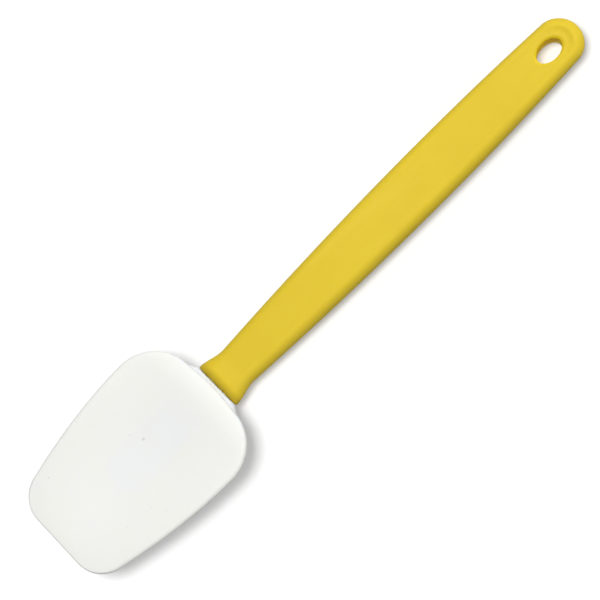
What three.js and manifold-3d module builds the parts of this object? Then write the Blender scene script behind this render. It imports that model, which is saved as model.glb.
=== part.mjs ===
// A silicone spoon: a dished silicone head pushed on to a steel core, whose shank is moulded into a
// plastic handle. Millimetres, +Z up. The spoon lies on its back on the plane z = 0, with its length
// along X: the tip of the head is at +X, the hanging end at -X, and the origin is under the middle.
import * as THREE from "three";
import { mergeVertices } from "three/addons/utils/BufferGeometryUtils.js";
import Module from "manifold-3d";

const wasm = await Module();
wasm.setup();

// Driving dimensions of the fits
const clearance = 0.3; // between faces that meet
const pocketWall = 1.4; // silicone round the core

// Driving dimensions of the handle, measured back from its mouth
const handleLength = 192;
const mouthWidth = 20.6;
const mouthThickness = 9.8;
const mouthRound = 4; // length over which the mouth rounds off above and below
const mouthLip = 4.4; // thickness that is left at the mouth's face
const waistFromMouth = 11;
const waistWidth = 16.8;
const waistThickness = 8.2;
const gripFromMouth = 114;
const gripWidth = 23;
const gripThickness = 9.4;
const gripFlatStart = 62; // the grip lies flat from here
const gripFlatEnd = 148; // to here
const endWidth = 19.7;
const endThickness = 8;
const endRise = 9.6; // length of the half-oval at the hanging end
const sideRound = 4.4; // width of the rounding along each side

// Driving dimensions of the hanging hole
const holeFromEnd = 14.7;
const holeLength = 11.4;
const holeWidth = 7.7;
const holeEdge = 1.2; // rounding of its rim

// Driving dimensions of the head, measured forward from the handle's mouth
const headReach = 83;
const headWidth = 61.8;
const backFromMouth = 1.9; // the head's back edge
const shoulderRadius = 18.4;
const tipStraight = 22.9;
const tipRadius = 13;
const tipSlant = 13.2; // degrees that each side draws in at the tip
const bowlDepth = 2.4;
const bowlFromMouth = 41; // the deepest point of the dish
const bowlPower = 1.5; // of its curve, where 1 is a parabola and more eases into the rim
const crestHeight = 13; // highest line of the rim above the table
const tipHeight = 11.6;
const backFall = 0.9; // the rim rolls down to the neck by this much
const backRoll = 9; // over this length
const lipRound = 2;
const sideLip = 3.2; // thickness of the lip at the sides
const tipLip = 2.2;
const backLip = 3.4;
const bellyStart = 9; // the belly lies flat from here
const bellyEnd = 26; // to here
const bellyFlat = 0.3; // depth of the rounding that the flat takes off
const bellyPower = 2.2; // of the underside's curve from the middle out to the lip
const neckInset = 0.3; // the neck stands in from the handle's mouth on each side by this much
const neckSide = 2.2; // width of the rounding along each side of it
const neckOver = 4.6; // its height above the core
const neckUnder = 2.9; // its depth below the core
const neckLift = 3.4; // its widest line is above the core by this much
const neckFlare = 4.6; // its widening on each side, where it runs in under the lip
const neckRise = 2.9; // the rise of its top there
const neckRoot = 7.5; // where it ends inside the head

// Driving dimensions of the core
const coreThickness = 2;
const tongueReach = 53; // past the handle's mouth
const tongueWidth = 16;
const tongueRound = 6.5;
const shankLength = 72; // inside the handle
const shankWidth = 10.4;
const keyHole = 5; // holes in the shank that the handle's plastic fills
const keyFromMouth = 22; // the first of them
const keyFromEnd = 20; // the second, from the shank's end

const middle = gripThickness / 2; // height of the core and of the handle's parting plane
const endStart = handleLength - endRise;
const seam = clearance; // the neck's end face
const keys = [keyFromMouth, shankLength - keyFromEnd];
const overrun = 1; // of a cut past the face that it opens through

const fractions = (steps) => Array.from({ length: steps + 1 }, (_, i) => i / steps);
const between = (from, to, steps) => fractions(steps).map((t) => from + (to - from) * t);
const clamp = (t) => Math.min(1, Math.max(0, t));
const ease = (from, to, t) => from + ((to - from) * (1 - Math.cos(Math.PI * clamp(t)))) / 2;
const arcSide = (t) => Math.sqrt(Math.max(0, 1 - t * t));

// Closed mesh through a row of rings that have the same number of points, with a point at each end.
function skin(firstPoint, rings, lastPoint) {
  const count = rings[0].length;
  const points = [firstPoint, ...rings.flat(), lastPoint];
  const at = (ring, i) => 1 + ring * count + (i % count);
  const faces = [];
  for (let i = 0; i < count; i++) {
    faces.push(0, at(0, i + 1), at(0, i));
    for (let ring = 0; ring + 1 < rings.length; ring++) {
      faces.push(at(ring, i), at(ring, i + 1), at(ring + 1, i + 1));
      faces.push(at(ring, i), at(ring + 1, i + 1), at(ring + 1, i));
    }
    faces.push(points.length - 1, at(rings.length - 1, i), at(rings.length - 1, i + 1));
  }
  const geometry = new THREE.BufferGeometry().setFromPoints(points);
  geometry.setIndex(faces);
  return geometry;
}

// Flat-topped section with an oval rounding on each side, square to X.
function flatOval(x, halfWidth, flatHalf, halfHeight) {
  const round = halfWidth - flatHalf;
  const turns = between(0, Math.PI / 2, 6);
  const corner = turns.map((a) => [flatHalf + round * Math.cos(a), halfHeight * Math.sin(a)]);
  const mirrored = corner.map(([y, z]) => [-y, z]).reverse();
  const upper = [...corner, ...mirrored];
  const lower = upper.slice(1, -1).map(([y, z]) => [-y, -z]);
  return [...upper, ...lower].map(([y, z]) => new THREE.Vector3(x, y, middle + z));
}

function solid(geometry) {
  const bare = geometry.clone();
  bare.deleteAttribute("normal");
  bare.deleteAttribute("uv");
  const merged = mergeVertices(bare, 1e-4);
  return new wasm.Manifold(
    new wasm.Mesh({
      numProp: 3,
      vertProperties: merged.attributes.position.array,
      triVerts: new Uint32Array(merged.index.array),
    }),
  );
}

function mesh(name, shape, material) {
  const { vertProperties, triVerts } = shape.getMesh();
  const geometry = new THREE.BufferGeometry();
  geometry.setAttribute("position", new THREE.BufferAttribute(vertProperties, 3));
  geometry.setIndex(new THREE.BufferAttribute(triVerts, 1));
  geometry.computeVertexNormals();
  const made = new THREE.Mesh(geometry, new THREE.MeshStandardMaterial(material));
  made.name = name;
  return made;
}

// Plate of a flat outline, centred on the core's height.
function plate(shape, thickness) {
  const settings = { depth: thickness, bevelEnabled: false, curveSegments: 10 };
  return new THREE.ExtrudeGeometry(shape, settings).translate(0, 0, middle - thickness / 2);
}

function pin(x, diameter, height) {
  return new THREE.CylinderGeometry(diameter / 2, diameter / 2, height, 24)
    .rotateX(Math.PI / 2)
    .translate(x, 0, middle);
}

// Handle
function handleHalfWidth(u) {
  if (u <= waistFromMouth) return ease(mouthWidth, waistWidth, u / waistFromMouth) / 2;
  if (u <= gripFromMouth) {
    const short = (gripFromMouth - u) / (gripFromMouth - waistFromMouth);
    return (gripWidth - (gripWidth - waistWidth) * short ** 2) / 2;
  }
  const past = Math.min(1, (u - gripFromMouth) / (endStart - gripFromMouth));
  const side = (gripWidth - (gripWidth - endWidth) * past ** 2) / 2;
  return side * arcSide(Math.max(0, u - endStart) / endRise);
}

function handleHalfHeight(u) {
  let thickness = ease(gripThickness, endThickness, (u - gripFlatEnd) / (endStart - gripFlatEnd));
  if (u < gripFlatStart) {
    const swell = (u - waistFromMouth) / (gripFlatStart - waistFromMouth);
    thickness = ease(waistThickness, gripThickness, swell);
  }
  if (u < waistFromMouth) thickness = ease(mouthThickness, waistThickness, u / waistFromMouth);
  const mouthShare = arcSide(Math.max(0, 1 - u / mouthRound));
  const endShare = arcSide(Math.max(0, 1 - (handleLength - u) / sideRound));
  return ((mouthLip + (thickness - mouthLip) * mouthShare) / 2) * endShare;
}

// Half-width of the flat band on top, which ends inside the hanging end's oval.
function handleFlatHalf(u) {
  const thinnest = 0.2;
  const inset = handleHalfWidth(Math.min(u, endStart)) - sideRound;
  return Math.max(thinnest, inset * arcSide(Math.max(0, u - endStart) / (endRise - sideRound)));
}

function makeHandle() {
  const stations = [
    ...fractions(5).map((t) => mouthRound * (1 - Math.cos((t * Math.PI) / 2))),
    ...between(mouthRound, gripFlatStart, 16).slice(1),
    ...between(gripFlatStart, gripFlatEnd, 8).slice(1),
    ...between(gripFlatEnd, endStart, 6).slice(1),
    ...fractions(9).slice(1, -1).map((t) => endStart + endRise * Math.sin((t * Math.PI) / 2)),
  ];
  const rings = stations
    .reverse()
    .map((u) => flatOval(-u, handleHalfWidth(u), handleFlatHalf(u), handleHalfHeight(u)));
  const [hangEnd, mouth] = [-handleLength, 0].map((x) => new THREE.Vector3(x, 0, middle));
  const body = solid(skin(hangEnd, rings, mouth));

  // The hole is an oval turned profile that opens out at each face.
  const face = endThickness / 2;
  const flare = between(0, Math.PI / 2, 4).map((turn) => {
    const radius = holeWidth / 2 + holeEdge * (1 - Math.cos(turn));
    return new THREE.Vector2(radius, face - holeEdge * (1 - Math.sin(turn)));
  });
  const beyond = new THREE.Vector2(holeWidth / 2 + holeEdge, gripThickness);
  const above = [...flare, beyond, new THREE.Vector2(0, gripThickness)];
  const below = above.map((p) => new THREE.Vector2(p.x, -p.y)).reverse();
  const hole = new THREE.LatheGeometry([...below, ...above], 32)
    .rotateX(Math.PI / 2)
    .scale(holeLength / holeWidth, 1, 1)
    .translate(holeFromEnd - handleLength, 0, middle);

  const socket = solid(plate(shankShape(clearance), coreThickness + 2 * clearance));
  const pegs = keys.map((u) => solid(pin(-u, keyHole - 2 * clearance, gripThickness)));
  const cut = pegs.reduce((left, peg) => left.subtract(peg), socket);
  return body.subtract(solid(hole)).subtract(cut);
}

// Core
function shankShape(grow) {
  const half = shankWidth / 2 + grow;
  const end = -(shankLength + grow);
  const past = grow > 0 ? overrun : seam; // the socket runs out through the mouth
  const shape = new THREE.Shape();
  shape.moveTo(past, -half);
  shape.lineTo(past, half);
  shape.lineTo(end + half, half);
  shape.absarc(end + half, 0, half, Math.PI / 2, (3 * Math.PI) / 2, false);
  return shape;
}

function tongueShape(grow) {
  const half = tongueWidth / 2 + grow;
  const reach = tongueReach + grow;
  const round = tongueRound + grow;
  const start = grow > 0 ? -overrun : seam; // the pocket runs out through the neck
  const shape = new THREE.Shape();
  shape.moveTo(start, half);
  shape.lineTo(start, -half);
  shape.lineTo(reach - round, -half);
  shape.absarc(reach - round, round - half, round, -Math.PI / 2, 0, false);
  shape.absarc(reach - round, half - round, round, 0, Math.PI / 2, false);
  return shape;
}

function makeCore() {
  const tongue = solid(plate(tongueShape(0), coreThickness));
  const shank = solid(plate(shankShape(0), coreThickness));
  const holes = keys.map((u) => solid(pin(-u, keyHole, gripThickness)));
  return holes.reduce((left, hole) => left.subtract(hole), tongue.add(shank));
}

// Head
const backCorner = new THREE.Vector2(backFromMouth + shoulderRadius, headWidth / 2 - shoulderRadius);
const tipCorner = new THREE.Vector2(headReach - tipRadius, tipStraight / 2);
const slant = THREE.MathUtils.degToRad(tipSlant);
const sideOut = new THREE.Vector2(Math.sin(slant), Math.cos(slant));
const sideEnd = tipCorner.clone().addScaledVector(sideOut, tipRadius);
const sidePull = (sideEnd.x - backCorner.x) / 3;
const sideCurve = new THREE.CubicBezierCurve(
  new THREE.Vector2(backCorner.x, headWidth / 2),
  new THREE.Vector2(backCorner.x + sidePull, headWidth / 2),
  new THREE.Vector2(sideEnd.x - sidePull, sideEnd.y + sidePull * Math.tan(slant)),
  sideEnd,
);

// The outline from above, as points on its edge with the way out at each.
function headOutline() {
  const path = new THREE.Path();
  path.moveTo(backFromMouth, 0);
  path.lineTo(backFromMouth, backCorner.y);
  path.absarc(backCorner.x, backCorner.y, shoulderRadius, Math.PI, Math.PI / 2, true);
  path.curves.push(sideCurve);
  path.currentPoint.copy(sideEnd);
  path.absarc(tipCorner.x, tipCorner.y, tipRadius, Math.PI / 2 - slant, 0, true);
  path.lineTo(headReach, 0);
  const near = path.getSpacedPoints(44);
  const far = near.slice(1, -1).reverse().map((p) => new THREE.Vector2(p.x, -p.y));
  const points = [...near, ...far];
  return points.map((edge, i) => {
    const along = points[(i + 1) % points.length].clone().sub(points.at(i - 1));
    return { edge, out: new THREE.Vector2(-along.y, along.x).normalize() };
  });
}

// Half-width of the outline at x, drawn in by an inset.
function headHalfWidth(x, inset) {
  if (x < backCorner.x) {
    const radius = shoulderRadius - inset;
    return backCorner.y + radius * arcSide((backCorner.x - x) / radius);
  }
  if (x > sideEnd.x) {
    const radius = tipRadius - inset;
    return tipCorner.y + radius * arcSide((x - tipCorner.x) / radius);
  }
  return sideCurve.getPoint((x - backCorner.x) / (sideEnd.x - backCorner.x)).y - inset / Math.cos(slant);
}

function rimHeight(x) {
  const toTip = Math.max(0, (x - backCorner.x) / (headReach - backCorner.x));
  const toBack = Math.max(0, 1 - (x - backFromMouth) / backRoll);
  return crestHeight - (crestHeight - tipHeight) * toTip ** 2 - backFall * toBack ** 2;
}

function lipThickness(x) {
  if (x < backCorner.x) return ease(backLip, sideLip, (x - backFromMouth) / shoulderRadius);
  return ease(sideLip, tipLip, (x - backCorner.x) / (headReach - backCorner.x));
}

// A point on the rounded lip: a quarter turn is its top, zero its outer edge.
function lipPoint({ edge, out }, turn) {
  const p = edge.clone().addScaledVector(out, -lipRound * (1 - Math.cos(turn)));
  return new THREE.Vector3(p.x, p.y, rimHeight(p.x) - (lipThickness(p.x) / 2) * (1 - Math.sin(turn)));
}

const lipTop = Math.PI / 2;
const lipBottom = -Math.PI / 3;
const hollow = (t) => (1 - Math.min(1, t * t)) ** bowlPower;

function faceHeight(x, y) {
  const end = x > bowlFromMouth ? headReach - lipRound : backFromMouth + lipRound;
  const along = hollow((x - bowlFromMouth) / (end - bowlFromMouth));
  return rimHeight(x) - bowlDepth * along * hollow(y / headHalfWidth(x, lipRound));
}

// The underside's line along the middle, low enough to cover the core's pocket.
function keelHeight(x) {
  const pocketFloor = middle - coreThickness / 2 - clearance - pocketWall;
  const edge = (at) => rimHeight(at) - (lipThickness(at) / 2) * (1 - Math.sin(lipBottom));
  if (x < bellyStart) return edge(backFromMouth) * ((bellyStart - x) / (bellyStart - backFromMouth)) ** 2;
  if (x > tongueReach) {
    return THREE.MathUtils.mapLinear(x, tongueReach, headReach, pocketFloor, edge(headReach));
  }
  return pocketFloor * Math.max(0, (x - bellyEnd) / (tongueReach - bellyEnd)) ** 2;
}

function bellyHeight(x, y) {
  const inset = lipRound * (1 - Math.cos(lipBottom));
  const edge = rimHeight(x) - (lipThickness(x) / 2) * (1 - Math.sin(lipBottom));
  const across = Math.min(1, Math.abs(y) / headHalfWidth(x, inset));
  const round = keelHeight(x) + (edge - keelHeight(x)) * across ** bellyPower;
  return Math.max(0, round - bellyFlat * (1 - across));
}

function makeHead() {
  const outline = headOutline();
  const ring = (turn, share, height) =>
    outline.map((o) => {
      const lip = lipPoint(o, turn);
      const [x, y] = [bowlFromMouth + (lip.x - bowlFromMouth) * share, lip.y * share];
      return new THREE.Vector3(x, y, height(x, y));
    });
  // Shares of the way from the middle out to the lip: the dish outwards, then the underside inwards.
  const faceShares = [0.15, 0.3, 0.45, 0.6, 0.75, 0.88];
  const bellyShares = [0.95, 0.88, 0.78, 0.64, 0.45, 0.22];
  const blade = skin(
    new THREE.Vector3(bowlFromMouth, 0, faceHeight(bowlFromMouth, 0)),
    [
      ...faceShares.map((share) => ring(lipTop, share, faceHeight)),
      ...between(lipTop, lipBottom, 5).map((turn) => outline.map((o) => lipPoint(o, turn))),
      ...bellyShares.map((share) => ring(lipBottom, share, bellyHeight)),
    ],
    new THREE.Vector3(bowlFromMouth, 0, bellyHeight(bowlFromMouth, 0)),
  );

  const neckHalf = Math.max(mouthWidth / 2 - neckInset, tongueWidth / 2 + clearance + pocketWall);
  const [neckBottom, neckTop] = [middle - neckUnder, middle + neckOver];
  const neckSection = (x, half, top, widestAt) =>
    flatOval(x, half, neckHalf - neckSide, 1).map((p) => {
      const share = p.z - middle;
      return p.setZ(widestAt + share * (share > 0 ? top - widestAt : widestAt - neckBottom));
    });
  const lipBase = rimHeight(backFromMouth) - lipThickness(backFromMouth);
  const neck = [
    neckSection(seam, neckHalf, neckTop, middle + neckLift),
    neckSection(backFromMouth + lipRound / 2, neckHalf + neckFlare, neckTop + neckRise, lipBase),
    neckSection(neckRoot, neckHalf, neckTop, middle),
  ];
  const [face, inside] = [seam, neckRoot].map((x) => new THREE.Vector3(x, 0, middle));
  const pocket = solid(plate(tongueShape(clearance), coreThickness + 2 * clearance));
  return solid(blade).add(solid(skin(face, neck, inside))).subtract(pocket);
}

const spoon = new THREE.Group();
const fromMouth = new THREE.Group(); // the handle's mouth is at its origin
fromMouth.position.x = (handleLength - headReach) / 2;
fromMouth.add(
  mesh("handle", makeHandle(), { color: 0xe8cb3d, roughness: 0.4, metalness: 0 }),
  mesh("steel_core", makeCore(), { color: 0xb9bcc0, roughness: 0.35, metalness: 1 }),
  mesh("silicone_head", makeHead(), { color: 0xf1f2ed, roughness: 0.6, metalness: 0 }),
);
spoon.add(fromMouth);

export default spoon;
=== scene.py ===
from math import atan2, cos, pi, radians, sin, sqrt, tan

import bmesh
import bpy
from mathutils import Matrix, Vector


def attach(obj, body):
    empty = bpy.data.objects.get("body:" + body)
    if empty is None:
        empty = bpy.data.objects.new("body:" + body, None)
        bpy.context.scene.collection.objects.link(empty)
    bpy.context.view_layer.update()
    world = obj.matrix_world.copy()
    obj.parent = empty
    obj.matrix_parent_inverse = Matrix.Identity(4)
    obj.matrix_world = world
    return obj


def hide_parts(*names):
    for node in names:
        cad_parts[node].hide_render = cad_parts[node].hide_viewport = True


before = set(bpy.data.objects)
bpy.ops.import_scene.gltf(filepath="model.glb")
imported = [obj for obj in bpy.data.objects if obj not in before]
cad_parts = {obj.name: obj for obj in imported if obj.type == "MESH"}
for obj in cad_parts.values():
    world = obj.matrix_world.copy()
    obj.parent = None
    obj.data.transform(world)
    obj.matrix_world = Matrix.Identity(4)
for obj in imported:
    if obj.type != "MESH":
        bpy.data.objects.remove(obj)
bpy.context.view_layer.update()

print("frame:", ", ".join(sorted(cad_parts)))

# Shapes are in millimetres from the handle's mouth, with the head at +X.
# They go to their place in the frame when they are finished.
mm = 0.001
shared = {
    "mouthAt": 54.5,  # the mouth's place in the frame
    "middle": 4.7,  # height of the core and of the handle's parting plane
    "gap": 0.3,  # round the core
    "seam": 0.12,  # between the mouth and the neck
    "coreThickness": 2.0,
    "sharpAngle": 42,  # edges that turn more than this stay crisp
    "weld": 0.002,  # points closer than this are merged
    "sliver": 1e-6,  # keeps a width from being nought
}
middle, gap, seam = shared["middle"], shared["gap"], shared["seam"]


def clamp(share):
    return min(1.0, max(0.0, share))


def mixed(start, end, share):
    return start + (end - start) * share


def ease(start, end, share):
    return mixed(start, end, (1 - cos(pi * clamp(share))) / 2)


def arcSide(share):
    return sqrt(max(0.0, 1 - share * share))


def spread(start, end, steps):
    return [mixed(start, end, i / steps) for i in range(steps + 1)]


def softMin(a, b, blend):
    share = clamp(0.5 + (b - a) / (2 * blend))
    return mixed(b, a, share) - blend * share * (1 - share)


def rolledSheet(columns):
    # a flat grid is laid on the piece, one column of points for each place round it, and closed up
    rows, places = len(columns[0]), len(columns)
    bm = bmesh.new()
    bmesh.ops.create_grid(bm, x_segments=rows - 1, y_segments=places, size=0.5)
    for vert in bm.verts:
        row = round((vert.co.x + 0.5) * (rows - 1))
        place = round((vert.co.y + 0.5) * places) % places
        vert.co = columns[place][row]
    bmesh.ops.remove_doubles(bm, verts=bm.verts, dist=shared["weld"])
    bmesh.ops.recalc_face_normals(bm, faces=bm.faces)
    return bm


def drawnOn(bm, edges, place):
    # extrudes a loop of edges and puts each new point where place says
    made = bmesh.ops.extrude_edge_only(bm, edges=edges)["geom"]
    for vert in made:
        if isinstance(vert, bmesh.types.BMVert):
            vert.co = place(vert.co)
    return [edge for edge in made if isinstance(edge, bmesh.types.BMEdge)]


def finishPiece(bm, name, node, body, finish, sharpAngle=shared["sharpAngle"]):
    bmesh.ops.translate(bm, verts=bm.verts, vec=(shared["mouthAt"], 0, 0))
    bmesh.ops.scale(bm, verts=bm.verts, vec=(mm, mm, mm))
    bmesh.ops.recalc_face_normals(bm, faces=bm.faces)
    for face in bm.faces:
        face.smooth = True
    for edge in bm.edges:
        edge.smooth = edge.calc_face_angle(0) < radians(sharpAngle)
    mesh = bpy.data.meshes.new(name)
    bm.to_mesh(mesh)
    bm.free()
    mesh.materials.append(finish)
    piece = bpy.data.objects.new(name, mesh)
    bpy.context.scene.collection.objects.link(piece)
    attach(piece, body)
    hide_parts(node)
    print(name, "made:", len(mesh.polygons), "faces")
    return piece


# Shader nodes: a Wire is an output, and sums on wires add Math nodes.
class Wire:
    def __init__(self, paint, socket):
        self.paint, self.socket = paint, socket

    def other(self, output):
        return Wire(self.paint, self.socket.node.outputs[output])

    def maths(self, operation, first, second=0.0):
        return self.paint.node("ShaderNodeMath", {"operation": operation}, {0: first, 1: second})

    def __add__(self, other):
        return self.maths("ADD", self, other)

    __radd__ = __add__

    def __sub__(self, other):
        return self.maths("SUBTRACT", self, other)

    def __rsub__(self, other):
        return self.maths("SUBTRACT", other, self)

    def __mul__(self, other):
        return self.maths("MULTIPLY", self, other)

    __rmul__ = __mul__

    def __truediv__(self, other):
        return self.maths("DIVIDE", self, other)

    def __rtruediv__(self, other):
        return self.maths("DIVIDE", other, self)

    def __abs__(self):
        return self.maths("ABSOLUTE", self)

    def atLeast(self, least):
        return self.maths("MAXIMUM", self, least)

    def root(self):
        return self.maths("SQRT", self)

    def fade(self, start, end, low=0.0, high=1.0):
        # smooth step from low at start to high at end
        return self.paint.node(
            "ShaderNodeMapRange",
            {"interpolation_type": "SMOOTHSTEP"},
            {"Value": self, "From Min": start, "From Max": end, "To Min": low, "To Max": high},
        )


class Paint:
    def __init__(self, owner):
        owner.use_nodes = True
        self.owner, self.tree = owner, owner.node_tree
        self.tree.nodes.clear()
        self.place = None

    def node(self, kind, settings=None, inputs=None, output=0):
        node = self.tree.nodes.new(kind)
        for key, value in (settings or {}).items():
            setattr(node, key, value)
        for key, value in (inputs or {}).items():
            if isinstance(value, Wire):
                self.tree.links.new(value.socket, node.inputs[key])
            else:
                node.inputs[key].default_value = value
        return Wire(self, node.outputs[output]) if len(node.outputs) else node

    def onPiece(self):
        if not self.place:
            self.place = self.node("ShaderNodeTexCoord", output="Object")
        return self.place

    def axes(self):
        # the place on the piece, in millimetres from the middle of the spoon
        parts = self.node("ShaderNodeSeparateXYZ", inputs={"Vector": self.onPiece()})
        return [parts.other(axis) / mm for axis in "XYZ"]

    def noise(self, size, detail=2.0, stretch=(1, 1, 1)):
        # size is the width of a blotch in millimetres
        spot = self.node("ShaderNodeMapping", inputs={"Vector": self.onPiece(), "Scale": stretch})
        values = {"Vector": spot, "Scale": 1 / (size * mm), "Detail": detail, "Roughness": 0.55}
        return self.node("ShaderNodeTexNoise", inputs=values)

    def blend(self, factor, first, second):
        # sockets 6 and 7 are the two colours, and output 2 is the mixed one
        return self.node(
            "ShaderNodeMix",
            {"data_type": "RGBA", "clamp_factor": True},
            {0: factor, 6: first, 7: second},
            output=2,
        )

    def bump(self, height, depth):
        # height is in units of depth, which is in millimetres
        values = {"Height": height, "Distance": depth * mm}
        return self.node("ShaderNodeBump", inputs=values, output="Normal")

    def finish(self, values):
        shader = self.node("ShaderNodeBsdfPrincipled", inputs=values)
        self.node("ShaderNodeOutputMaterial", inputs={"Surface": shader})
        return self.owner


def tint(red, green, blue):
    # a colour as an editor shows it, 0 to 255, made linear for the shader
    shares = [value / 255 for value in (red, green, blue)]
    return (*[s / 12.92 if s <= 0.04045 else ((s + 0.055) / 1.055) ** 2.4 for s in shares], 1.0)


# Handle: satin moulded plastic
plasticLook = {
    "yellow": tint(231, 203, 55),
    "deepYellow": tint(227, 198, 52),
    "paleYellow": tint(236, 209, 70),
    # painted shade colour for the mouth's rounding
    "mouthShadeYellow": tint(192, 166, 42),
    # painted bounce light colour for the hole's wall
    "holeBounceAmber": tint(255, 224, 22),
    "roughness": 0.58,
    "gloss": 0.12,
    "cloud": 38,  # this and the next three are the widths of their blotches in millimetres
    "flow": 5,
    "rub": 1.1,
    "grain": 0.35,
    "grainDepth": 0.012,
    "flowDraw": 0.08,  # less than 1 draws a pattern out along the handle
    "rubDraw": 0.05,
    "flowTint": 0.35,
    "partingWidth": 0.16,
    "partingCore": 0.02,  # the middle of the line, at full strength
    "partingTint": 0.3,
    "mouthFrom": 4.2,  # the painted shade at the mouth starts this far back, and is full at the next
    "mouthFull": 0.5,
    "mouthShadeStrength": 0.85,
    "holeFrom": 0.5,  # the same for the painted bounce light round the hole
    "holeFull": 0.1,
    "softness": 0.2,  # how much light goes into the plastic, and how far
    "softReach": 0.003,
    "softColours": (1.0, 0.7, 0.1),
}


def handlePlastic():
    look, h = plasticLook, handleShape
    paint = Paint(bpy.data.materials.new("handlePlastic"))
    x, y, height = paint.axes()
    cloud = paint.noise(look["cloud"], 3)
    flow = paint.noise(look["flow"], 3, (look["flowDraw"], 1, 1))  # as the plastic flowed
    grain = paint.noise(look["grain"], 2)
    rub = paint.noise(look["rub"], 3, (look["rubDraw"], 1, 1)).fade(0.58, 0.74)  # fine lengthwise marks
    parting = abs(height - middle).fade(look["partingWidth"], look["partingCore"])
    colour = paint.blend(cloud.fade(0.3, 0.7), look["yellow"], look["deepYellow"])
    colour = paint.blend(flow.fade(0.5, 0.75) * look["flowTint"], colour, look["paleYellow"])
    colour = paint.blend(parting * look["partingTint"], colour, look["deepYellow"])
    # painted shade darkens the mouth's rounding, and painted bounce light makes the hole's wall brighter
    # and deeper yellow
    mouth, holeHalf = shared["mouthAt"], h["holeWidth"] / 2
    mouthShade = x.fade(mouth - look["mouthFrom"], mouth - look["mouthFull"], 0, look["mouthShadeStrength"])
    along = (x - (mouth + h["holeFromEnd"] - h["length"])) * (h["holeWidth"] / h["holeLength"])
    fromHole = (along * along + y * y).root()
    holeBounceLight = fromHole.fade(holeHalf + look["holeFrom"], holeHalf + look["holeFull"])
    colour = paint.blend(mouthShade, colour, look["mouthShadeYellow"])
    colour = paint.blend(holeBounceLight, colour, look["holeBounceAmber"])
    roughness = look["roughness"] + (cloud - 0.5) * 0.12 + (grain - 0.5) * 0.1 + rub * 0.06
    normal = paint.bump(grain + flow * 0.8 + parting * 2.0, look["grainDepth"])
    return paint.finish({
        "Base Color": colour,
        "Roughness": roughness,
        "Normal": normal,
        "IOR": 1.49,
        "Specular IOR Level": look["gloss"],
        "Subsurface Weight": look["softness"],
        "Subsurface Radius": look["softColours"],
        "Subsurface Scale": look["softReach"],
    })


handleShape = {
    "length": 192.0,
    "mouthWidth": 20.6,
    "mouthThickness": 9.8,
    "mouthRound": 4.0,
    "mouthLip": 2.8,
    "mouthCorner": 0.5,
    "waistAt": 11.0,
    "waistWidth": 16.8,
    "waistThickness": 8.2,
    "gripAt": 114.0,
    "gripWidth": 23.0,
    "gripThickness": 9.4,
    "flatFrom": 62.0,
    "flatTo": 148.0,
    "endWidth": 19.7,
    "endThickness": 8.0,
    "endRise": 9.6,
    "sideRound": 4.0,
    "mouthSide": 7.4,  # the same rounding at the mouth
    "bandSink": 0.18,  # the flat band on top lies this deep between its two edges
    "bandEndSink": 0.55,  # and this deep at the hanging end
    "bandFlank": 2.6,
    "bandInside": 0.4,  # share of the flank that lies inside the band's edge
    "bandShort": 1.5,  # it ends this much before the flat of the end does
    "bandFrom": 3,  # it starts this far from the mouth and takes the next to reach its depth
    "bandRun": 8,
    "bandEndRun": 30,
    "leastFlat": 0.2,
    "holeFromEnd": 14.7,
    "holeLength": 11.4,
    "holeWidth": 7.7,
    "holeEdge": 1.2,
    "holePatch": 8.4,  # half-length of the patch that the hole is worked into
    "socketLength": 72.3,
    "socketWidth": 11.0,
    "socketFlat": 0.9,  # share of its width that is flat
    "socketTurns": (1.3, 0.9, 0.45, 0.0),  # places round its end, in radians
    "mouthPart": 30,  # lengths at the two ends that are cut more finely
    "endPart": 24,
    "acrossSteps": 36,
    "roundSteps": 18,
    "mouthSteps": 12,
    "waistSteps": 26,
    "gripSteps": 84,
    "holeSteps": 26,
    "endSteps": 22,
    "holePulls": (0.35, 0.5, 1.0),  # share of the way to the oval at each step
    "rimSteps": 8,
}
handleShape["endStart"] = handleShape["length"] - handleShape["endRise"]


def handleHalfWidth(u):
    h = handleShape
    if u <= h["waistAt"]:
        corner = h["mouthCorner"]
        cut = corner * (1 - arcSide(max(0.0, 1 - u / corner)))
        return ease(h["mouthWidth"], h["waistWidth"], u / h["waistAt"]) / 2 - cut
    if u <= h["gripAt"]:
        short = (h["gripAt"] - u) / (h["gripAt"] - h["waistAt"])
        return mixed(h["gripWidth"], h["waistWidth"], short ** 2) / 2
    past = min(1.0, (u - h["gripAt"]) / (h["endStart"] - h["gripAt"]))
    side = mixed(h["gripWidth"], h["endWidth"], past ** 2) / 2
    return side * arcSide(max(0.0, u - h["endStart"]) / h["endRise"])


def handleHalfHeight(u):
    h = handleShape
    toEnd = (u - h["flatTo"]) / (h["endStart"] - h["flatTo"])
    thickness = ease(h["gripThickness"], h["endThickness"], toEnd)
    if u < h["flatFrom"]:
        toGrip = (u - h["waistAt"]) / (h["flatFrom"] - h["waistAt"])
        thickness = ease(h["waistThickness"], h["gripThickness"], toGrip)
    if u < h["waistAt"]:
        thickness = ease(h["mouthThickness"], h["waistThickness"], u / h["waistAt"])
    mouthShare = arcSide(max(0.0, 1 - u / h["mouthRound"]))
    endShare = arcSide(max(0.0, 1 - (h["length"] - u) / h["sideRound"]))
    return mixed(h["mouthLip"], thickness, mouthShare) / 2 * endShare


def handleFlatHalf(u):
    h = handleShape
    sideRound = ease(h["mouthSide"], h["sideRound"], u / h["waistAt"])
    inset = handleHalfWidth(min(u, h["endStart"])) - sideRound
    pastFlat = max(0.0, u - h["endStart"]) / (h["endRise"] - h["sideRound"])
    return max(h["leastFlat"], inset * arcSide(pastFlat))


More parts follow.
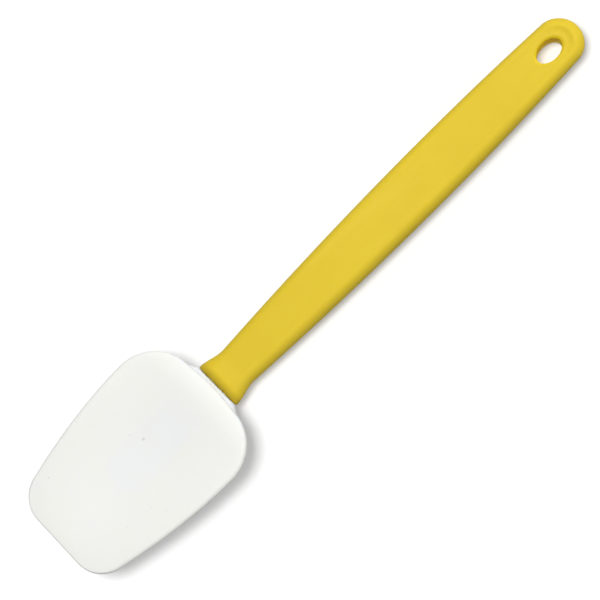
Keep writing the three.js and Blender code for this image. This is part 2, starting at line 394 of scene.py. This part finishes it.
def handleTop(u, y):
    h = handleShape
    halfWidth, flatHalf = handleHalfWidth(u), handleFlatHalf(u)
    overSide = max(0.0, abs(y) - flatHalf) / (halfWidth - flatHalf + shared["sliver"])
    rise = handleHalfHeight(u) * arcSide(overSide)
    pastEnd = max(0.0, u - h["endStart"] + h["bandShort"])
    fromBand = sqrt(y * y + pastEnd ** 2) - handleFlatHalf(min(u, h["endStart"]))
    inBand = ease(1, 0, fromBand / h["bandFlank"] + h["bandInside"])
    inBand *= ease(0, 1, (u - h["bandFrom"]) / h["bandRun"])
    sink = ease(h["bandSink"], h["bandEndSink"], (u - h["flatTo"]) / h["bandEndRun"])
    return middle + rise - sink * inBand


def handlePoint(u, part, share):
    halfWidth, flatHalf = handleHalfWidth(u), handleFlatHalf(u)
    y = flatHalf * (1 - 2 * share)
    if part == "top":
        return Vector((-u, y, handleTop(u, y)))
    if part == "bottom":
        return Vector((-u, -y, middle - handleHalfHeight(u)))
    turn = pi / 2 - pi * share
    y = flatHalf + (halfWidth - flatHalf) * cos(turn)
    z = handleTop(u, y) if turn > 0 else middle + handleHalfHeight(u) * sin(turn)
    return Vector((-u, -y, z)) if part == "farSide" else Vector((-u, y, z))


def socketPoint(u, half, part, share):
    flatHalf, halfHeight = half * handleShape["socketFlat"], shared["coreThickness"] / 2 + gap
    y = flatHalf * (1 - 2 * share)
    if part == "top":
        return Vector((-u, y, middle + halfHeight))
    if part == "bottom":
        return Vector((-u, -y, middle - halfHeight))
    turn = pi / 2 - pi * share
    y = flatHalf + (half - flatHalf) * cos(turn)
    return Vector((-u, -y if part == "farSide" else y, middle + halfHeight * sin(turn)))


def makeHandle():
    h = handleShape
    across, around = h["acrossSteps"], h["roundSteps"]
    places = [("top", i / across) for i in range(across)]
    places += [("farSide", i / around) for i in range(around)]
    places += [("bottom", i / across) for i in range(across)]
    places += [("nearSide", 1 - i / around) for i in range(around)]
    endFrom = h["length"] - h["endPart"]
    stations = [h["mouthRound"] * (1 - cos(turn)) for turn in spread(0, pi / 2, h["mouthSteps"])]
    stations += spread(h["mouthRound"], h["mouthPart"], h["waistSteps"])[1:]
    stations += spread(h["mouthPart"], endFrom, h["gripSteps"])[1:]
    stations += spread(endFrom, h["endStart"], h["holeSteps"])[1:]
    endTurns = spread(0, pi / 2, h["endSteps"])[1:-1]
    stations += [h["endStart"] + h["endRise"] * sin(turn) for turn in endTurns]
    socketHalf = h["socketWidth"] / 2
    socketBend = h["socketLength"] - socketHalf
    columns = []
    for part, share in places:
        column = [Vector((-h["socketLength"], 0, middle))]
        for turn in h["socketTurns"]:
            deep, half = socketBend + socketHalf * sin(turn), socketHalf * cos(turn)
            column.append(socketPoint(deep, half, part, share))
        column.append(socketPoint(0, socketHalf, part, share))
        column += [handlePoint(u, part, share) for u in stations]
        column.append(Vector((-h["length"], 0, middle)))
        columns.append(column)
    bm = rolledSheet(columns)

    # hanging hole: a patch comes out of each face, and its edge is drawn in to the oval and down its rim
    holeAt = h["holeFromEnd"] - h["length"]
    halfLength, halfWidth, edge = h["holeLength"] / 2, h["holeWidth"] / 2, h["holeEdge"]
    patch = []
    for face in bm.faces:
        spot = face.calc_center_median()
        if abs(spot.x - holeAt) < h["holePatch"] and abs(spot.y) < handleFlatHalf(-spot.x):
            patch.append(face)
    bmesh.ops.delete(bm, geom=patch, context="FACES")
    loose = [e for e in bm.edges if e.is_boundary]
    loops = [[e for e in loose if (e.verts[0].co.z > middle) == top] for top in (True, False)]
    rims = []
    for loop, side in zip(loops, (1, -1)):
        def surface(x, y):
            return handleTop(-x, y) if side > 0 else middle - handleHalfHeight(-x)

        def oval(point, grow):
            turn = atan2(point.y / halfWidth, (point.x - holeAt) / halfLength)
            wide, long = halfWidth + grow, (halfWidth + grow) * halfLength / halfWidth
            return Vector((holeAt + long * cos(turn), wide * sin(turn)))

        for pull in h["holePulls"]:
            def drawIn(point):
                spot = point.xy.lerp(oval(point, edge), pull)
                return Vector((spot.x, spot.y, surface(spot.x, spot.y)))

            loop = drawnOn(bm, loop, drawIn)
        for turn in spread(pi / 2, 0, h["rimSteps"])[1:]:
            def overRim(point):
                spot, outer = oval(point, edge * (1 - cos(turn))), oval(point, edge)
                z = surface(outer.x, outer.y) - side * edge * (1 - sin(turn))
                return Vector((spot.x, spot.y, z))

            loop = drawnOn(bm, loop, overRim)
        rims += loop
    bmesh.ops.bridge_loops(bm, edges=rims)
    return finishPiece(bm, "handle_moulding", "handle", "handle", handlePlastic())


# Core: a flat strip of brushed steel, with holes that key it into the handle
steelLook = {
    "steel": (0.72, 0.73, 0.74, 1.0),
    "dullSteel": (0.6, 0.61, 0.62, 1.0),
    "roughness": 0.3,
    "brushWidth": 0.12,
    "brushDraw": 0.012,
    "brushDepth": 0.006,
    "stain": 9,  # millimetres across
}


def brushedSteel():
    look = steelLook
    paint = Paint(bpy.data.materials.new("brushedSteel"))
    brush = paint.noise(look["brushWidth"], 3, (look["brushDraw"], 1, 1))
    stain = paint.noise(look["stain"], 3)
    colour = paint.blend(stain.fade(0.45, 0.75) * 0.5, look["steel"], look["dullSteel"])
    roughness = look["roughness"] + (brush - 0.5) * 0.25 + stain.fade(0.4, 0.8) * 0.1
    return paint.finish({
        "Base Color": colour,
        "Roughness": roughness,
        "Normal": paint.bump(brush, look["brushDepth"]),
        "Metallic": 1.0,
    })


coreShape = {
    "tongueReach": 53.0,
    "tongueWidth": 16.0,
    "tongueRound": 6.5,
    "shankLength": 72.0,
    "shankWidth": 10.4,
    "keyHole": 5.0,
    "keysAt": (22.0, 52.0),
    "edge": 0.3,  # the edges are broken by this much
    "edgeAngle": 1.0,  # and are those that turn more than this, in radians
    "sharpAngle": 14,  # keeps the flat faces flat beside the broken edges
    "cornerSteps": 14,
    "keySteps": 40,
    "edgeSteps": 3,
}


def makeCore():
    c = coreShape
    tongue, shank, corner = c["tongueWidth"] / 2, c["shankWidth"] / 2, c["tongueRound"]
    bend = c["tongueReach"] - corner
    bm = bmesh.new()
    start = bm.verts.new((gap, -tongue, middle))

    def lineTo(vert, x, y):
        new = bmesh.ops.extrude_vert_indiv(bm, verts=[vert])["verts"][0]
        new.co = (x, y, middle)
        return new

    def turnBy(vert, x, y, angle):
        made = bmesh.ops.spin(
            bm, geom=[vert], cent=(x, y, middle), axis=(0, 0, 1), angle=angle, steps=c["cornerSteps"]
        )
        return [item for item in made["geom_last"] if isinstance(item, bmesh.types.BMVert)][0]

    vert = turnBy(lineTo(start, bend, -tongue), bend, corner - tongue, pi / 2)
    vert = turnBy(lineTo(vert, c["tongueReach"], tongue - corner), bend, tongue - corner, pi / 2)
    vert = lineTo(lineTo(vert, gap, tongue), gap, shank)
    vert = turnBy(lineTo(vert, shank - c["shankLength"], shank), shank - c["shankLength"], 0, pi)
    vert = lineTo(vert, gap, -shank)
    bm.edges.new((vert, start))
    for key in c["keysAt"]:
        spot = Matrix.Translation((-key, 0, middle))
        bmesh.ops.create_circle(bm, segments=c["keySteps"], radius=c["keyHole"] / 2, matrix=spot)
    bmesh.ops.triangle_fill(bm, edges=bm.edges, use_beauty=True)
    bmesh.ops.solidify(bm, geom=bm.faces[:], thickness=shared["coreThickness"])
    heights = [v.co.z for v in bm.verts]
    bmesh.ops.translate(bm, verts=bm.verts, vec=(0, 0, middle - (min(heights) + max(heights)) / 2))
    bmesh.ops.recalc_face_normals(bm, faces=bm.faces)
    rims = [e for e in bm.edges if e.calc_face_angle(0) > c["edgeAngle"]]
    rims = [e for e in rims if abs(e.verts[0].co.z - e.verts[1].co.z) < c["edge"]]
    bmesh.ops.bevel(
        bm,
        geom=rims,
        offset=c["edge"],
        affect="EDGES",
        segments=c["edgeSteps"],
        profile=0.5,
        material=-1,
    )
    steel = brushedSteel()
    return finishPiece(bm, "core_strip", "steel_core", "handle", steel, c["sharpAngle"])


# Head: matt white silicone, thick enough to hide the core but for a faint cooler patch
siliconeLook = {
    "white": tint(247, 248, 243),
    "warmWhite": tint(248, 248, 242),
    "overCore": tint(245, 247, 247),
    # painted cool shade for the neck behind the back edge
    "neck": tint(243, 248, 255),
    "speck": tint(196, 197, 194),
    "roughness": 0.52,
    "gloss": 0.35,
    "cloud": 16,  # this and the next are the widths of their blotches in millimetres
    "grain": 0.5,
    "grainDepth": 0.01,
    "coreEdge": (2.5, -3),  # the patch over the core fades between these distances from its edge
    "coreStart": (8, 24),  # and comes in between these distances from the mouth
    "neckShadeEdge": (-0.6, -0.1),  # the painted cool shade on the neck fades over the rolled back edge
    "softness": 0.2,
    "softReach": 0.002,
    "softColours": (1.0, 0.95, 0.85),
    "speckHeight": (6, 7),  # specks show on the face only
    "speckCore": 0.2,  # share of the radius that is darkest
    "specks": (  # place from the mouth, place across and radius in millimetres, and how dark it is
        (33.3, -4.5, 0.8, 0.55),
        (35.9, -9.3, 0.5, 0.25),
        (68.9, -19.7, 0.55, 0.35),
        (60.3, 15.1, 0.5, 0.2),
        (48.7, 16.2, 0.45, 0.2),
        (45.3, 21.3, 0.45, 0.25),
    ),
}


def headSilicone():
    look, c, h = siliconeLook, coreShape, headShape
    paint = Paint(bpy.data.materials.new("headSilicone"))
    x, y, z = paint.axes()
    cloud = paint.noise(look["cloud"], 3)
    grain = paint.noise(look["grain"], 2)
    # how far a place is outside the core's tongue, seen from above
    fromMouth = x - shared["mouthAt"]
    halfWidth, halfReach, corner = c["tongueWidth"] / 2, c["tongueReach"] / 2, c["tongueRound"]
    acrossOut = (abs(y) - (halfWidth - corner)).atLeast(0)
    alongOut = (abs(fromMouth - halfReach) - (halfReach - corner)).atLeast(0)
    past = (acrossOut * acrossOut + alongOut * alongOut).root() - corner
    overCore = past.fade(*look["coreEdge"]) * fromMouth.fade(*look["coreStart"])
    specks = 0.0
    for along, across, radius, dark in look["specks"]:
        dx, dy = fromMouth - along, y - across
        away = (dx * dx + dy * dy).root()
        specks = specks + away.fade(radius, radius * look["speckCore"], 0.0, dark)
    specks = specks * z.fade(*look["speckHeight"])
    colour = paint.blend(cloud.fade(0.35, 0.65), look["white"], look["warmWhite"])
    colour = paint.blend(overCore * cloud.fade(0.25, 0.6, 0.4), colour, look["overCore"])
    # painted cool shade on the neck behind the bulged back edge
    behind = h["backAt"] - h["backBulge"] - (fromMouth - y * y * (h["backBulge"] / backY ** 2))
    colour = paint.blend(behind.fade(*look["neckShadeEdge"]), colour, look["neck"])
    colour = paint.blend(specks, colour, look["speck"])
    roughness = look["roughness"] + (cloud - 0.5) * 0.1 + (grain - 0.5) * 0.12
    return paint.finish({
        "Base Color": colour,
        "Roughness": roughness,
        "Normal": paint.bump(grain + cloud * 1.5, look["grainDepth"]),
        "IOR": 1.41,
        "Specular IOR Level": look["gloss"],
        "Subsurface Weight": look["softness"],
        "Subsurface Radius": look["softColours"],
        "Subsurface Scale": look["softReach"],
    })


headShape = {
    "reach": 83.0,
    "width": 61.8,
    "backAt": 1.9,
    "backBulge": 0.9,  # the back edge comes out by this much in the middle
    "shoulder": 18.4,
    "tipStraight": 22.9,
    "tipRadius": 13.0,
    "tipSlant": radians(13.2),
    "bowlDepth": 2.4,
    "bowlAt": 41.0,
    "bowlPower": 1.5,
    "crest": 13.0,
    "tipHeight": 11.6,
    "backFall": 0.9,
    "backRoll": 9.0,
    "lipRound": 1.5,
    "lipRun": 8,  # from the back edge to where the lip has this rounding
    "tipRound": 0.4,
    "backRound": 0.5,
    "sideLip": 3.2,
    "tipLip": 2.2,
    "backLip": 3.4,
    "lipBottom": radians(-60),
    "bellyFrom": 9.0,
    "bellyTo": 26.0,
    "bellyFlat": 0.3,
    "bellyPower": 2.2,
    "bellyBlend": 1.2,  # how softly the belly and the neck run together
    "neckOver": 4.6,
    "neckUnder": 2.9,
    "neckHalf": 10.0,
    "neckSide": 2.2,
    "neckLift": 3.4,
    "neckFlare": 4.6,
    "neckRise": 2.9,
    "neckRoot": 7.5,
    "neckRound": 0.5,
    "neckBlend": 0.5,
    "pocketWall": 1.4,
    "slotFrom": 0.2,  # the slot's edges stay between these shares of the neck's end face
    "slotTo": 0.8,
    "slotSteps": 10,  # steps of the outline: half the slot, the rest of the back edge, and so on round
    "backSteps": 14,
    "shoulderStart": 0.92 * pi,  # the shoulder's first bit is cut more finely
    "shoulderFirst": 16,
    "shoulderSteps": 28,
    "sideSteps": 40,
    "cornerSteps": 20,
    "tipSteps": 12,
    "faceSteps": 34,  # steps of a column
    "faceSpread": 0.6,  # more brings them closer together towards the lip
    "lipSteps": 16,
    "neckSteps": 6,
    "neckTurns": 4,
    "underSteps": 5,
    "pocketTurns": 8,
}
backX = headShape["backAt"] + headShape["shoulder"]
backY = headShape["width"] / 2 - headShape["shoulder"]
tipX = headShape["reach"] - headShape["tipRadius"]
tipY = headShape["tipStraight"] / 2
sideEndX = tipX + headShape["tipRadius"] * sin(headShape["tipSlant"])
sideEndY = tipY + headShape["tipRadius"] * cos(headShape["tipSlant"])


def sideCurve(share):
    # half-width along the side, and how fast it changes with x
    pull = (sideEndX - backX) / 3
    start, end, slope = headShape["width"] / 2, sideEndY, tan(headShape["tipSlant"])
    hold = end + pull * slope
    left = 1 - share
    y = start * left ** 2 * (left + 3 * share) + share ** 2 * (3 * hold * left + end * share)
    rate = 6 * (hold - start) * left * share + 3 * (end - hold) * share ** 2
    return y, rate / (sideEndX - backX)


def headOutline():
    # half of the outline from above, as points and the way out at each, then the other half
    h = headShape
    pocketHalf = coreShape["tongueWidth"] / 2 + gap
    half = []

    def onArc(x, y, radius, turn):
        return (x + radius * cos(turn), y + radius * sin(turn), cos(turn), sin(turn))

    for y in spread(0, pocketHalf, h["slotSteps"]) + spread(pocketHalf, backY, h["backSteps"])[1:]:
        half.append((h["backAt"] - h["backBulge"] * (1 - (y / backY) ** 2), y, -1.0, 0.0))
    turns = spread(pi, h["shoulderStart"], h["shoulderFirst"])[1:]
    turns += spread(h["shoulderStart"], pi / 2, h["shoulderSteps"])[1:]
    half += [onArc(backX, backY, h["shoulder"], turn) for turn in turns]
    for share in spread(0, 1, h["sideSteps"])[1:]:
        y, rate = sideCurve(share)
        size = sqrt(1 + rate * rate)
        half.append((mixed(backX, sideEndX, share), y, -rate / size, 1 / size))
    turns = spread(pi / 2 - h["tipSlant"], 0, h["cornerSteps"])[1:]
    half += [onArc(tipX, tipY, h["tipRadius"], turn) for turn in turns]
    half += [(h["reach"], y, 1.0, 0.0) for y in spread(tipY, 0, h["tipSteps"])[1:]]
    return half + [(x, -y, outX, -outY) for x, y, outX, outY in reversed(half[1:-1])]


def headHalfWidth(x, inset):
    h = headShape
    if x < backX:
        radius = h["shoulder"] - inset
        return backY + radius * arcSide((backX - x) / radius)
    if x > sideEndX:
        radius = h["tipRadius"] - inset
        return tipY + radius * arcSide((x - tipX) / radius)
    return sideCurve((x - backX) / (sideEndX - backX))[0] - inset / cos(h["tipSlant"])


def rimHeight(x):
    h = headShape
    toTip = max(0.0, (x - backX) / (h["reach"] - backX))
    toBack = max(0.0, 1 - (x - h["backAt"]) / h["backRoll"])
    return h["crest"] - (h["crest"] - h["tipHeight"]) * toTip ** 2 - h["backFall"] * toBack ** 2


def lipThickness(x):
    h = headShape
    if x < backX:
        return ease(h["backLip"], h["sideLip"], (x - h["backAt"]) / h["shoulder"])
    return ease(h["sideLip"], h["tipLip"], (x - backX) / (h["reach"] - backX))


def lipEdge(x):
    return rimHeight(x) - lipThickness(x) / 2 * (1 - sin(headShape["lipBottom"]))


def lipPoint(spot, turn):
    x, y, outX, outY = spot
    h = headShape
    radius = ease(h["backRound"], h["lipRound"], (x - h["backAt"]) / h["lipRun"])
    inset = ease(radius, h["tipRound"], (x - tipX) / h["tipRadius"]) * (1 - cos(turn))
    if turn < 0 and x < backX:
        inset *= ease(0, 1, (abs(y) - h["neckHalf"]) / h["neckFlare"] - 0.5)  # filled in over the neck
    x, y = x - outX * inset, y - outY * inset
    return Vector((x, y, rimHeight(x) - lipThickness(x) / 2 * (1 - sin(turn))))


def hollow(share):
    return (1 - min(1.0, share * share)) ** headShape["bowlPower"]


def faceHeight(x, y):
    h = headShape
    end = h["reach"] - h["lipRound"] if x > h["bowlAt"] else h["backAt"] + h["lipRound"]
    along = hollow((x - h["bowlAt"]) / (end - h["bowlAt"]))
    return rimHeight(x) - h["bowlDepth"] * along * hollow(y / headHalfWidth(x, h["lipRound"]))


def keelHeight(x):
    h = headShape
    pocketEnd = coreShape["tongueReach"]
    pocketFloor = middle - shared["coreThickness"] / 2 - gap - h["pocketWall"]
    if x < h["bellyFrom"]:
        return lipEdge(h["backAt"]) * ((h["bellyFrom"] - x) / (h["bellyFrom"] - h["backAt"])) ** 2
    if x > pocketEnd:
        return mixed(pocketFloor, lipEdge(h["reach"]), (x - pocketEnd) / (h["reach"] - pocketEnd))
    return pocketFloor * max(0.0, (x - h["bellyTo"]) / (pocketEnd - h["bellyTo"])) ** 2


def neckAt(x):
    # half-width, top and height of the widest line of the neck
    h = headShape
    top = middle + h["neckOver"]
    flareEnd = h["backAt"] + h["lipRound"] / 2
    mouth = (h["neckHalf"], top, middle + h["neckLift"])
    flare = (h["neckHalf"] + h["neckFlare"], top + h["neckRise"], lipEdge(h["backAt"]))
    root = (h["neckHalf"], top, middle)
    if x < flareEnd:
        share = clamp((x - seam) / (flareEnd - seam))
        return [mixed(a, b, share) for a, b in zip(mouth, flare)]
    share = clamp((x - flareEnd) / (h["neckRoot"] - flareEnd))
    return [mixed(a, b, share) for a, b in zip(flare, root)]


def neckSpan(x, y):
    # lowest and highest point of the neck at a place, or None outside it
    h = headShape
    half, top, widestAt = neckAt(x)
    flatHalf = h["neckHalf"] - h["neckSide"]
    if abs(y) > half + shared["weld"] / 2 or x > h["neckRoot"]:
        return None
    share = arcSide(max(0.0, abs(y) - flatHalf) / (half - flatHalf))
    bottom = middle - h["neckUnder"]
    return mixed(widestAt, bottom, share), mixed(widestAt, top, share)


def bellyHeight(x, y):
    h = headShape
    inset = h["lipRound"] * (1 - cos(h["lipBottom"]))
    across = min(1.0, abs(y) / headHalfWidth(x, inset))
    keel = keelHeight(x)
    height = mixed(keel, lipEdge(x), across ** h["bellyPower"]) - h["bellyFlat"] * (1 - across)
    span = neckSpan(x, y)
    if span:
        height = softMin(height, span[0], h["bellyBlend"])
    return max(0.0, height)


def headColumn(spot):
    # points from the middle of the dish, out over the lip, round the neck and in along the underside
    h = headShape
    lipTop, lipLow = lipPoint(spot, pi / 2), lipPoint(spot, h["lipBottom"])
    column = []
    for step in spread(0, 1, h["faceSteps"])[:-1]:
        share = step * (1 + h["faceSpread"] * (1 - step))
        x, y = mixed(h["bowlAt"], lipTop.x, share), lipTop.y * share
        column.append(Vector((x, y, faceHeight(x, y))))
    flareEnd = h["backAt"] + h["lipRound"] / 2
    atNeck = spot[0] < flareEnd and neckSpan(lipLow.x, lipLow.y)
    for turn in spread(pi / 2, h["lipBottom"], h["lipSteps"]):
        point = lipPoint(spot, turn)
        span = neckSpan(point.x, point.y) if atNeck else None
        if span:
            point.z = -softMin(-point.z, -span[1], h["neckBlend"])
        column.append(point)
    y = lipLow.y
    reach = seam + max(0.0, abs(y) - h["neckHalf"]) / h["neckFlare"] * (flareEnd - seam)
    if atNeck and reach < lipLow.x:
        low, high = neckSpan(reach, y)
        bend = min(h["neckRound"], (high - low) / 2)
        slot = shared["coreThickness"] / 2 + gap
        for x in spread(lipLow.x, reach + bend, h["neckSteps"])[1:]:
            column.append(Vector((x, y, neckSpan(x, y)[1])))
        for turn in spread(0, pi / 2, h["neckTurns"])[1:]:
            x = reach + bend * (1 - sin(turn))
            column.append(Vector((x, y, neckSpan(x, y)[1] - bend * (1 - cos(turn)))))
        top, bottom = high - bend, low + bend
        slotTop = max(bottom, min(middle + slot, mixed(top, bottom, h["slotFrom"])))
        slotBottom = min(slotTop, max(middle - slot, mixed(top, bottom, h["slotTo"])))
        endFace = (slotTop, mixed(slotTop, slotBottom, 0.5), slotBottom, bottom)
        column += [Vector((reach, y, z)) for z in endFace]
        for turn in spread(pi / 2, 0, h["neckTurns"])[1:]:
            x = reach + bend * (1 - sin(turn))
            column.append(Vector((x, y, neckSpan(x, y)[0] + bend * (1 - cos(turn)))))
        for x in spread(reach + bend, lipLow.x, h["underSteps"])[1:]:
            column.append(Vector((x, y, bellyHeight(x, y))))
    else:
        # as many points as round the neck, all on the lip, where they merge
        column += [column[-1]] * (h["neckSteps"] + 2 * h["neckTurns"] + 4 + h["underSteps"])
    for share in spread(1, 0, h["faceSteps"])[1:]:
        x, y = mixed(h["bowlAt"], lipLow.x, share), lipLow.y * share
        column.append(Vector((x, y, bellyHeight(x, y))))
    return column


def makeHead():
    c, h = coreShape, headShape
    bm = rolledSheet([headColumn(spot) for spot in headOutline()])

    # pocket: the slot comes out of the neck's end face, and its edge is drawn in along the core
    half, corner = c["tongueWidth"] / 2 + gap, c["tongueRound"] + gap
    slot = shared["coreThickness"] / 2 + gap
    bend = c["tongueReach"] + gap - corner
    opening = []
    for face in bm.faces:
        spot = face.calc_center_median()
        if abs(spot.x - seam) < shared["weld"] and abs(spot.y) < half and abs(spot.z - middle) < slot:
            opening.append(face)
    bmesh.ops.delete(bm, geom=opening, context="FACES")
    loop = [e for e in bm.edges if e.is_boundary]
    width = half
    for turn in spread(0, pi / 2, h["pocketTurns"]):
        newWidth = half - corner * (1 - cos(turn))
        narrow, x = newWidth / width, bend + corner * sin(turn)
        loop = drawnOn(bm, loop, lambda point: Vector((x, point.y * narrow, point.z)))
        width = newWidth
    bmesh.ops.edgeloop_fill(bm, edges=loop)
    return finishPiece(bm, "head_moulding", "silicone_head", "head", headSilicone())


spoon = [makeHandle(), makeCore(), makeHead()]

# Camera: nearly overhead, with the spoon lying from the lower left to the upper right
view = {
    "target": (9.5, -1.0, 4.7),  # millimetres in the frame, at the middle of the picture
    "span": 226.25,  # millimetres across the picture there
    "lens": 120,
    "sensor": 36,
    "tip": radians(14),  # the camera stands this far over towards +Y
    "right": (-0.7049, 0.7093),  # the picture's right along X and across it
}


def makeCamera():
    data = bpy.data.cameras.new("camera")
    data.lens = view["lens"]
    data.sensor_width = view["sensor"]
    camera = bpy.data.objects.new("camera", data)
    bpy.context.scene.collection.objects.link(camera)
    along = Vector((1, 0, 0))
    across = Vector((0, cos(view["tip"]), -sin(view["tip"])))
    back = along.cross(across)
    right = (along * view["right"][0] + across * view["right"][1]).normalized()
    up = back.cross(right)
    distance = view["span"] * view["lens"] / view["sensor"]
    spot = (Vector(view["target"]) + back * distance) * mm
    camera.matrix_world = Matrix.Translation(spot) @ Matrix((right, up, back)).transposed().to_4x4()
    bpy.context.scene.camera = camera
    print("camera", round(distance), "mm away")
    return right, up


right, up = makeCamera()

# Floor and light
studio = {
    "floorSize": 6.0,
    "floor": (0.75, 0.75, 0.75, 1.0),
    "floorBounce": (0.52, 0.52, 0.52, 1.0),  # what it gives back to the spoon
    "floorGlow": 0.34,  # for the camera alone, so that the open floor is white
    "sky": 0.15,
    # side of the picture that a lamp stands on as right and up, height in degrees,
    # distance and width in metres, and level
    "keyLamp": {"side": (0.644, 0.764), "height": 68, "distance": 2.0, "width": 1.2, "level": 0.94},
    "floorLamp": {"side": (-1.0, 0.0), "height": 77, "distance": 8.0, "width": 4.0, "level": 0.82},
}


def makeFloor():
    bm = bmesh.new()
    bmesh.ops.create_grid(bm, x_segments=4, y_segments=4, size=studio["floorSize"] / 2)
    mesh = bpy.data.meshes.new("floor")
    bm.to_mesh(mesh)
    bm.free()
    paint = Paint(bpy.data.materials.new("floorWhite"))
    path = paint.node("ShaderNodeLightPath")
    seen = path.other("Is Camera Ray").atLeast(path.other("Is Glossy Ray"))
    seen = seen.atLeast(path.other("Is Transmission Ray"))
    colour = paint.blend(seen, studio["floorBounce"], studio["floor"])
    ground = paint.node("ShaderNodeBsdfDiffuse", inputs={"Color": colour})
    glow = paint.node("ShaderNodeEmission", inputs={"Strength": seen * studio["floorGlow"]})
    both = paint.node("ShaderNodeAddShader", inputs={0: ground, 1: glow})
    paint.node("ShaderNodeOutputMaterial", inputs={"Surface": both})
    mesh.materials.append(paint.owner)
    floor = bpy.data.objects.new("floor", mesh)
    bpy.context.scene.collection.objects.link(floor)
    return floor


def makeLight(lit):
    world = bpy.data.worlds.new("studio")
    bpy.context.scene.world = world
    paint = Paint(world)
    seen = paint.node("ShaderNodeLightPath", output="Is Camera Ray")
    strength = seen.fade(0, 1, studio["sky"], 1)
    sky = paint.node("ShaderNodeBackground", inputs={"Color": (1, 1, 1, 1), "Strength": strength})
    paint.node("ShaderNodeOutputWorld", inputs={"Surface": sky})

    for name, pieces in lit.items():
        lamp = studio[name]
        flat = right * lamp["side"][0] + up * lamp["side"][1]
        flat = Vector((flat.x, flat.y, 0)).normalized()
        height = radians(lamp["height"])
        toLamp = flat * cos(height) + Vector((0, 0, sin(height)))
        data = bpy.data.lights.new(name, "AREA")
        data.size = lamp["width"]
        # an upward face gets this level from the lamp, where 1 shows a colour as it is written
        data.energy = lamp["level"] * (pi * lamp["distance"]) ** 2 / sin(height)
        light = bpy.data.objects.new(name, data)
        light.location = toLamp * lamp["distance"]
        light.rotation_mode = "QUATERNION"
        light.rotation_quaternion = (-toLamp).to_track_quat("-Z", "Y")
        bpy.context.scene.collection.objects.link(light)
        receivers = bpy.data.collections.new(name)
        for piece in pieces:
            receivers.objects.link(piece)
        light.light_linking.receiver_collection = receivers
        print(name, "lights", ", ".join(piece.name for piece in pieces))


makeLight({"keyLamp": spoon, "floorLamp": [makeFloor()]})
bpy.context.scene.view_settings.view_transform = "Standard"
